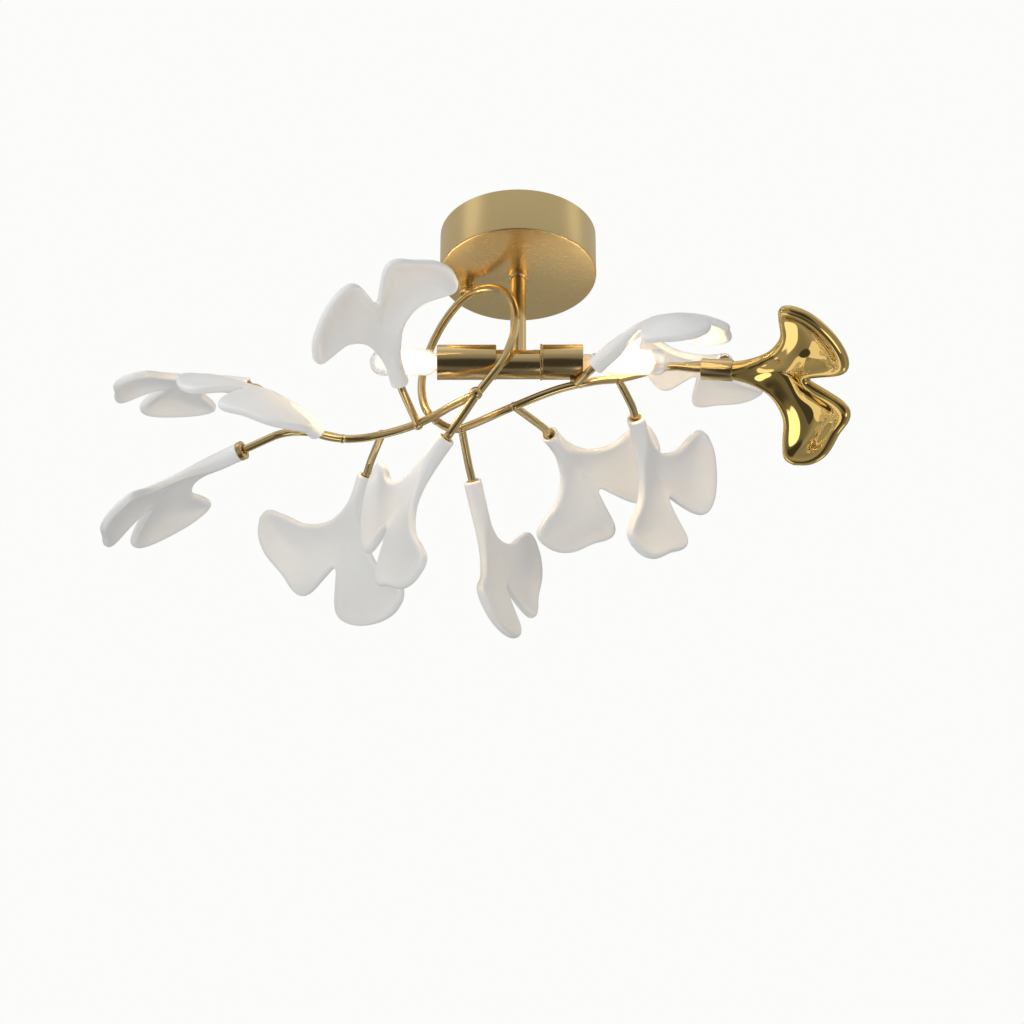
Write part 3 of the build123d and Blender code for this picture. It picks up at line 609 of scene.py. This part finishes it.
def fan_place(across, along, end):
    """Place in the flat leaf, from 0 on its middle line to 1 on its side, and from its stem to its end."""
    side = smooth_line(leaf_side, along)
    middle = Vector((0, notch_depth * along))
    stem_end = Vector((leaf_stem_radius * across, 0))
    far_end = smooth_line(end, across)
    corners = (1 - along) * across * Vector(leaf_side[0]) + along * (1 - across) * Vector((0, notch_depth))
    corners += along * across * Vector(leaf_side[-1])
    return (1 - across) * middle + across * side + (1 - along) * stem_end + along * far_end - corners


def half_leaf(end, hand, rim):
    """Rows of places from the middle line to the side, with their distance to the rim."""
    rows = [(1 - rim_steps[-1] / notch_depth) * row / inner_rows for row in range(inner_rows)]
    rows += [1 - step / notch_depth for step in reversed(rim_steps)]
    places = []
    for along in rows:
        width = (smooth_line(leaf_side, along) - Vector((0, notch_depth * along))).length
        steps = [step * min(1.0, width / (2 * rim_steps[-1])) for step in rim_steps]
        inner = 1 - steps[-1] / width
        columns = [inner * column / inner_columns for column in range(inner_columns)]
        columns += [1 - step / width for step in reversed(steps)]
        row = []
        for across in columns:
            place = fan_place(across, along, end)
            on_rim = across == 1 or along == 1
            inward = 0.0 if on_rim else rim.find((hand * place.x, place.y, 0))[2]
            row.append((hand * place.x, place.y, inward))
        places.append(row)
    return places


def flat_leaf(waved_hand):
    """Places in the flat leaf by row and column of a sheet, with the wave in one of its lobes."""
    ends = {hand: waved_end if hand == waved_hand else plain_end for hand in (-1, 1)}
    rim = KDTree(4 * rim_points)
    for hand in (-1, 1):
        for line in (leaf_side, ends[hand]):
            for step in range(rim_points):
                place = smooth_line(line, step / (rim_points - 1))
                rim.insert((hand * place.x, place.y, 0), step)
    rim.balance()
    left = half_leaf(ends[-1], -1, rim)
    right = half_leaf(ends[1], 1, rim)
    return [left_row[:0:-1] + right_row for left_row, right_row in zip(left, right)]


flat_places = {hand: flat_leaf(hand) for hand in (-1, 1)}


def leaf_frame(leaf):
    """Turns the leaf's own frame, Y along its stem and Z square to its blade, into place."""
    flat = cos(radians(leaf.rise))
    axis = Vector((flat * cos(radians(leaf.heading)), flat * sin(radians(leaf.heading)),
                   sin(radians(leaf.rise))))
    level = Vector((0, 0, 1)).cross(axis).normalized()
    above = axis.cross(level)
    up = above * cos(radians(leaf.roll)) + level * sin(radians(leaf.roll))
    right = axis.cross(up)
    turn = Matrix((right, axis, up)).transposed().to_4x4()
    return Matrix.Translation(leaf.seat) @ turn, axis, up


def folded(leaf, x, y):
    """Where a flat point lies on the middle of the bent and cupped blade."""
    cup = abs(leaf.cup)
    bend = abs(leaf.bend)
    cup_side = 1 if leaf.cup > 0 else -1
    bend_side = 1 if leaf.bend > 0 else -1
    beyond = max(y - leaf_neck, 0.0)
    cupped = ease(y, *cupping)
    height = cup_side * (cup - cup * cos(x / cup)) * cupped
    out = bend * sin(beyond / bend)
    radius = bend - bend_side * height
    if beyond > 0:
        height = bend_side * (bend - sqrt(max(radius * radius - out * out, 0.0)))
    return Vector((cup * sin(x / cup), min(y, leaf_neck) + out, height))


def rounded_height(rim_distance, y, rim):
    """Half the thickness: round at the stem, and a fuller rim round a thinner middle on the blade."""
    flattened = ease(y, *flattening)
    reach = leaf_stem_radius + (rim.reach - leaf_stem_radius) * flattened
    height = leaf_stem_radius + (rim.height - leaf_stem_radius) * flattened
    power = 2.0 + (rim.fullness - 2.0) * flattened
    inward = min(rim_distance / reach, 1.0)
    thickness = height * (1 - (1 - inward) ** power) ** (1 / power)
    return thickness - rim.hollow * ease(rim_distance, rim.reach, rim.inside) * ease(y, *hollowing)


def make_leaf(leaf, material, rim):
    """A leaf of two sheets joined along the rim, bent, cupped and set on its seat."""
    place, _, up = leaf_frame(leaf)
    faces_front = 1 if up.dot(camera_place / mm - leaf.seat) > 0 else -1
    places = flat_places[leaf_waves[leaf.name]]
    bm = bmesh.new()
    columns = len(places[0])
    rows = len(places)
    inside_rim = []
    for side in (1, -1):
        sheet = bmesh.ops.create_grid(bm, x_segments=columns - 1, y_segments=rows - 1, size=1.0)["verts"]
        for vert in sheet:
            column = round((vert.co.x + 1) / 2 * (columns - 1))
            row = round((vert.co.y + 1) / 2 * (rows - 1))
            x, y, rim_distance = places[row][column]
            if rim_distance > rim.reach and y > leaf_neck:
                inside_rim.append(vert)
            half = rounded_height(rim_distance, y, rim)
            dish = rim.step * ease(rim_distance, rim.reach, rim.inside)
            dish += rim.dish * ease(rim_distance, *dish_reach)
            middle = -faces_front * dish * ease(y, *dishing)
            grown = 1 + (leaf.width * leaf.length - 1) * ease(y, *widening)
            flat_x = x * grown
            flat_y = y * (1 + (leaf.length - 1) * ease(y, *lengthening))
            here = folded(leaf, flat_x, flat_y)
            across = folded(leaf, flat_x + slope_step, flat_y) - folded(leaf, flat_x - slope_step, flat_y)
            along = folded(leaf, flat_x, flat_y + slope_step) - folded(leaf, flat_x, flat_y - slope_step)
            vert.co = here + across.cross(along).normalized() * (side * half + middle)
        if side < 0:
            bmesh.ops.reverse_faces(bm, faces=list({face for vert in sheet for face in vert.link_faces}))
    bmesh.ops.remove_doubles(bm, verts=bm.verts[:], dist=0.01)
    for _ in range(blade_smoothing_rounds):
        bmesh.ops.smooth_vert(bm, verts=[vert for vert in inside_rim if vert.is_valid], factor=0.5,
                              use_axis_x=True, use_axis_y=True, use_axis_z=True)
    open_end = [edge for edge in bm.edges if edge.is_boundary]
    for depth, radius in stem_end_rings:
        grown = bmesh.ops.extrude_edge_only(bm, edges=open_end)["geom"]
        ring = [item for item in grown if isinstance(item, bmesh.types.BMVert)]
        for vert in ring:
            spoke = Vector((vert.co.x, 0, vert.co.z)).normalized() * radius
            vert.co = Vector((spoke.x, depth, spoke.z))
        open_end = [item for item in grown if isinstance(item, bmesh.types.BMEdge) and item.is_boundary]
    bmesh.ops.edgeloop_fill(bm, edges=open_end)
    bmesh.ops.transform(bm, matrix=place, verts=bm.verts[:])
    bmesh.ops.recalc_face_normals(bm, faces=bm.faces[:])
    piece = add_object(f"{leaf.name}_blade", to_mesh(bm, leaf.name, 60), material, f"{leaf.name}_swivel",
                       [leaf.name])
    rounding = piece.modifiers.new("rounding", "SUBSURF")
    rounding.levels = 1
    rounding.render_levels = 1
    return piece


def make_sleeve(leaf, radius, length):
    """Brass sleeve or ring round the end of a leaf's stem."""
    bore = bush_radius + sleeve_bore_clearance
    inside = leaf_stem_radius - sleeve_over_stem
    floor = -sleeve_before_stem + sleeve_floor
    sleeve = turned_piece([(bore, -sleeve_before_stem), (radius, -sleeve_before_stem), (radius, length),
                           (inside, length), (inside, floor), (bore, floor)],
                          soft=[(1, 0.6), (2, 0.5)], steps=64, closed=True)
    place = leaf_frame(leaf)[0]
    turn = Matrix.Rotation(radians(-90), 4, "X")
    bmesh.ops.transform(sleeve, matrix=place @ turn, verts=sleeve.verts[:])
    add_object(f"{leaf.name}_sleeve", to_mesh(sleeve, "sleeve"), satin_brass, f"{leaf.name}_swivel")


# Rods

def into_bush(leaf):
    """The straight end of a rod or stub: before the stem, at its end and inside the bush."""
    axis = leaf_frame(leaf)[1]
    return [leaf.seat - axis * leaf.straight, leaf.seat - axis * 0.5 * leaf.straight, leaf.seat,
            leaf.seat + axis * stub_in_bush]


loop_start = at_bar(-62.5, 44, -23.5)
lower_rod = [loop_start, at_bar(-56, 46.5, -28), at_bar(-46.5, 46.5, -30.5), at_bar(-36, 39, -31),
             at_bar(-24, 27.5, -32.5), at_bar(-11, 16, -33), at_bar(0, 11, -31), at_bar(16, 6.5, -26),
             at_bar(30, 5, -21), at_bar(40, 4.5, -18.2), at_bar(49, 4, -16.5), at_bar(61, 6, -12.5),
             at_bar(76, 11.5, -8), at_bar(95, 16, 1), gold_leaf.root, *into_bush(gold_leaf)]
loop_rod = [loop_start, at_bar(-69, 41.5, -19), at_bar(-73, 41.5, -8), at_bar(-74.5, 42.5, 7),
            at_bar(-73, 41, 22), at_bar(-67.5, 36, 39), at_bar(-57, 26, 56.5), at_bar(-43, 13, 68),
            at_bar(-31, 7, 72), at_bar(-20, 1, 70), at_bar(-11, -5, 62.5), at_bar(-5, -9.5, 51.5),
            at_bar(-1.5, -12, 37), at_bar(-2, -14, 20), at_bar(-6, -16.8, 4), at_bar(-11, -16.3, -10),
            at_bar(-20, -12, -20.5), at_bar(-31, -7, -33.5), middle_leaf.root, *into_bush(middle_leaf)]
left_rod = [at_bar(-31.5, -6.5, -33), at_bar(-50, 10, -32.5), at_bar(-60, 21, -32.5),
            at_bar(-77, 34.5, -33.5), at_bar(-95, 46, -32.5), at_bar(-113, 53, -33), at_bar(-129, 54, -34),
            left_leaf.root, *into_bush(left_leaf)]


def make_rods():
    for name, points, replaced in (("lower_branch", lower_rod, "lower_rod"),
                                   ("loop_branch", loop_rod, "loop_rod"),
                                   ("left_branch", left_rod, "left_rod")):
        add_object(name, to_mesh(bent_rod(points, rod_radius), name, 60), satin_brass, "fixture",
                   [replaced])
    stubs = [bent_rod([leaf.root, *leaf.via, *into_bush(leaf)], stub_radius) for leaf in leaves_on_stubs]
    add_object("leaf_branches", to_mesh(joined(stubs), "leaf_branches", 60), satin_brass, "fixture",
               ["leaf_stubs"])


# Where rods and stubs are brazed together, and the radius of each bead
braze_beads = [(at_bar(-31.5, -7.5, -33), 5.0), (front_leaf.root, 4.1), (loop_start, 3.5),
               (hanging_left_leaf.root, 3.6), (hanging_middle_leaf.root, 3.6), (hanging_right_leaf.root, 3.6),
               (right_back_leaf.root, 3.6), (right_front_leaf.root, 3.6), (back_leaf.root, 3.5),
               (low_left_leaf.root, 3.5)]


def make_braze_beads():
    """Smooth beads of braze where the stubs and rods meet."""
    beads = []
    for place, radius in braze_beads:
        bead = bmesh.new()
        bmesh.ops.create_icosphere(bead, subdivisions=3, radius=radius)
        bmesh.ops.translate(bead, vec=place, verts=bead.verts[:])
        beads.append(bead)
    add_object("braze_beads", to_mesh(joined(beads), "braze_beads", 60), satin_brass, "fixture")


def make_post():
    """Post of the loop, with a thin collar at the canopy and a round end over the rod."""
    x, y = post_place
    top = -canopy_height
    bottom = bar_height + post_over_bar
    groove = bottom + post_groove_height
    groove_top = groove + post_groove_width
    inner = post_radius - post_groove_depth
    post = turned_piece([(0, bottom), (post_radius, bottom), (post_radius, groove),
                         (inner, groove + post_groove_slope), (inner, groove_top - post_groove_slope),
                         (post_radius, groove_top), (post_radius, top), (0, top)],
                        soft=[(1, 1.6), (2, 0.25), (5, 0.25)], steps=64)
    bmesh.ops.translate(post, vec=(x, y, 0), verts=post.verts[:])
    add_object("loop_holder", to_mesh(post, "loop_holder"), satin_brass, "fixture",
               ["loop_post"])


# Stage

def make_stage():
    world = bpy.data.worlds.new("studio")
    bpy.context.scene.world = world
    world.use_nodes = True
    nodes, links = world.node_tree.nodes, world.node_tree.links
    nodes.clear()
    shown = nodes.new("ShaderNodeBackground")
    shown.inputs["Color"].default_value = linear(252, 252, 250)
    shown.inputs["Strength"].default_value = 1.0
    lighting = nodes.new("ShaderNodeBackground")
    lighting.inputs["Color"].default_value = (1, 1, 1, 1)
    lighting.inputs["Strength"].default_value = world_light
    path = nodes.new("ShaderNodeLightPath")
    seen = nodes.new("ShaderNodeMath")
    seen.operation = "MAXIMUM"
    links.new(path.outputs["Is Camera Ray"], seen.inputs[0])
    links.new(path.outputs["Is Glossy Ray"], seen.inputs[1])
    seen_through = nodes.new("ShaderNodeMath")
    seen_through.operation = "MAXIMUM"
    links.new(seen.outputs["Value"], seen_through.inputs[0])
    links.new(path.outputs["Is Transmission Ray"], seen_through.inputs[1])
    mix = nodes.new("ShaderNodeMixShader")
    links.new(seen_through.outputs["Value"], mix.inputs["Fac"])
    links.new(lighting.outputs["Background"], mix.inputs[1])
    links.new(shown.outputs["Background"], mix.inputs[2])
    output = nodes.new("ShaderNodeOutputWorld")
    links.new(mix.outputs["Shader"], output.inputs["Surface"])

    floor_bm = bmesh.new()
    bmesh.ops.create_grid(floor_bm, x_segments=1, y_segments=1, size=floor_half_width)
    bmesh.ops.translate(floor_bm, vec=(0, 0, floor_height), verts=floor_bm.verts[:])
    floor_mesh = to_mesh(floor_bm, "floor")
    floor = bpy.data.objects.new("floor", floor_mesh)
    bpy.context.scene.collection.objects.link(floor)
    floor_mesh.materials.append(pale_floor_paint("floor_paint", linear(246, 246, 244)))

    for name, place, size, energy in lamps:
        lamp = bpy.data.lights.new(name, "AREA")
        lamp.size = size * mm
        lamp.energy = energy
        holder = bpy.data.objects.new(name, lamp)
        bpy.context.scene.collection.objects.link(holder)
        holder.location = Vector(place) * mm
        holder.rotation_euler = (Vector(lamps_face) - Vector(place)).to_track_quat("-Z", "Y").to_euler()
        holder.visible_glossy = False

    for along_bar in bulb_light_places:
        lamp = bpy.data.lights.new("bulb_light", "POINT")
        lamp.energy = bulb_light
        lamp.color = linear(255, 222, 170)[:3]
        lamp.shadow_soft_size = bulb_light_radius * mm
        holder = bpy.data.objects.new("bulb_light", lamp)
        bpy.context.scene.collection.objects.link(holder)
        holder.location = Vector((along_bar, 0, bar_height)) * mm

    # The metal and the glaze mirror this tent, which nothing else sees
    tent_bm = bmesh.new()
    bmesh.ops.create_uvsphere(tent_bm, u_segments=64, v_segments=32, radius=tent_radius)
    bmesh.ops.translate(tent_bm, vec=(0, 0, bar_height), verts=tent_bm.verts[:])
    tent_mesh = to_mesh(tent_bm, "light_tent", 180)
    tent = bpy.data.objects.new("light_tent", tent_mesh)
    bpy.context.scene.collection.objects.link(tent)
    tent_mesh.materials.append(tent_cloth())
    tent.visible_camera = False
    tent.visible_diffuse = False
    tent.visible_shadow = False
    tent.visible_transmission = False
    tent.visible_volume_scatter = False


def tent_cloth():
    """Light of the tent by direction: darker below, brighter above, with dark and bright patches."""
    material = bpy.data.materials.new("tent_cloth")
    material.use_nodes = True
    nodes, links = material.node_tree.nodes, material.node_tree.links
    nodes.clear()
    place = nodes.new("ShaderNodeTexCoord")
    centred = nodes.new("ShaderNodeVectorMath")
    centred.operation = "SUBTRACT"
    centred.inputs[1].default_value = (0, 0, bar_height * mm)
    links.new(place.outputs["Object"], centred.inputs[0])
    unit = nodes.new("ShaderNodeVectorMath")
    unit.operation = "NORMALIZE"
    links.new(centred.outputs["Vector"], unit.inputs[0])
    parts = nodes.new("ShaderNodeSeparateXYZ")
    links.new(unit.outputs["Vector"], parts.inputs["Vector"])
    upward = nodes.new("ShaderNodeMapRange")
    upward.inputs["From Min"].default_value = -1.0
    upward.inputs["From Max"].default_value = 1.0
    links.new(parts.outputs["Z"], upward.inputs["Value"])
    ramp = nodes.new("ShaderNodeValToRGB")
    while len(ramp.color_ramp.elements) < len(tent_stops):
        ramp.color_ramp.elements.new(0.5)
    for element, (position, value) in zip(ramp.color_ramp.elements, tent_stops):
        element.position = position
        element.color = (value, value, value, 1)
    links.new(upward.outputs["Result"], ramp.inputs["Fac"])
    total = ramp.outputs["Color"]
    for direction, tight, wide, strength in tent_patches:
        toward = nodes.new("ShaderNodeVectorMath")
        toward.operation = "DOT_PRODUCT"
        toward.inputs[1].default_value = Vector(direction).normalized()
        links.new(unit.outputs["Vector"], toward.inputs[0])
        patch = nodes.new("ShaderNodeMapRange")
        patch.interpolation_type = "SMOOTHSTEP"
        patch.inputs["From Min"].default_value = cos(radians(wide))
        patch.inputs["From Max"].default_value = cos(radians(tight))
        patch.inputs["To Max"].default_value = 1.0
        links.new(toward.outputs["Value"], patch.inputs["Value"])
        mix = nodes.new("ShaderNodeMix")
        mix.data_type = "RGBA"
        mix.inputs["B"].default_value = (strength, strength * 0.98, strength * 0.94, 1)
        links.new(patch.outputs["Result"], mix.inputs["Factor"])
        links.new(total, mix.inputs["A"])
        total = mix.outputs["Result"]
    glow = nodes.new("ShaderNodeEmission")
    links.new(total, glow.inputs["Color"])
    output = nodes.new("ShaderNodeOutputMaterial")
    links.new(glow.outputs["Emission"], output.inputs["Surface"])
    return material


def pale_floor_paint(name, colour):
    """Floor paint that looks pale, keeps shadows and lights the object no more than plain paint does."""
    material, nodes, links, shader = new_material(name)
    shader.inputs["Base Color"].default_value = colour
    shader.inputs["Roughness"].default_value = 0.9
    path = nodes.new("ShaderNodeLightPath")
    seen = nodes.new("ShaderNodeMath")
    seen.operation = "MAXIMUM"
    links.new(path.outputs["Is Camera Ray"], seen.inputs[0])
    links.new(path.outputs["Is Transmission Ray"], seen.inputs[1])
    lift = nodes.new("ShaderNodeMath")
    lift.operation = "MULTIPLY"
    lift.inputs[1].default_value = floor_lift
    links.new(seen.outputs["Value"], lift.inputs[0])
    shader.inputs["Emission Color"].default_value = colour
    links.new(lift.outputs["Value"], shader.inputs["Emission Strength"])
    return material


def make_camera():
    lens = bpy.data.cameras.new("camera")
    lens.sensor_width = camera_sensor
    lens.lens = camera_lens
    lens.clip_end = camera_reach
    camera = bpy.data.objects.new("camera", lens)
    bpy.context.scene.collection.objects.link(camera)
    camera.location = camera_place
    camera.rotation_euler = (radians(90 + camera_pitch), 0, radians(camera_yaw))
    bpy.context.scene.camera = camera


# CAD pieces that stay as they are, by finish
carried_over = {
    "zinc_steel": ["ceiling_bracket", "earth_screw", "threaded_nipple", "nipple_washer", "nipple_nut",
                   "hub_grub_screw", "lampholder_screws", "post_screw", "terminal_screws"],
    "pin_metal": ["lampholder_contacts", "left_bulb_pins", "right_bulb_pins"],
    "holder_ceramic": ["left_lampholder", "right_lampholder", "left_bulb_base", "right_bulb_base"],
    "block_plastic": ["terminal_block"],
    "wire_cover": ["supply_wires"],
    "satin_brass": ["cup_lug"] + [f"{leaf.name}_bush" for leaf in white_leaves + [gold_leaf]],
}
finishes = {"zinc_steel": zinc_steel, "pin_metal": pin_metal, "holder_ceramic": holder_ceramic,
            "block_plastic": block_plastic, "wire_cover": wire_cover, "satin_brass": satin_brass}


def dress_carried_over():
    for name, nodes in carried_over.items():
        for node in nodes:
            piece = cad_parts[node]
            piece.data.materials.clear()
            piece.data.materials.append(finishes[name])


make_canopy()
make_stem()
make_hub()
make_cup("left", -hub_end, -1, left_cup_length, -hub_end)
make_cup("right", hub_end + ring_thickness, 1, right_cup_length, hub_end)
make_bulb("left", -hub_end, -1)
make_bulb("right", hub_end + ring_thickness, 1)
make_rods()
make_braze_beads()
make_post()
for leaf in white_leaves:
    make_leaf(leaf, white_glaze, white_rim)
make_leaf(gold_leaf, gold_mirror, gold_rim)
make_sleeve(gold_leaf, *gold_sleeve)
make_sleeve(low_left_leaf, *stem_ring)
dress_carried_over()
make_stage()
make_camera()

bpy.context.scene.view_settings.view_transform = "Standard"
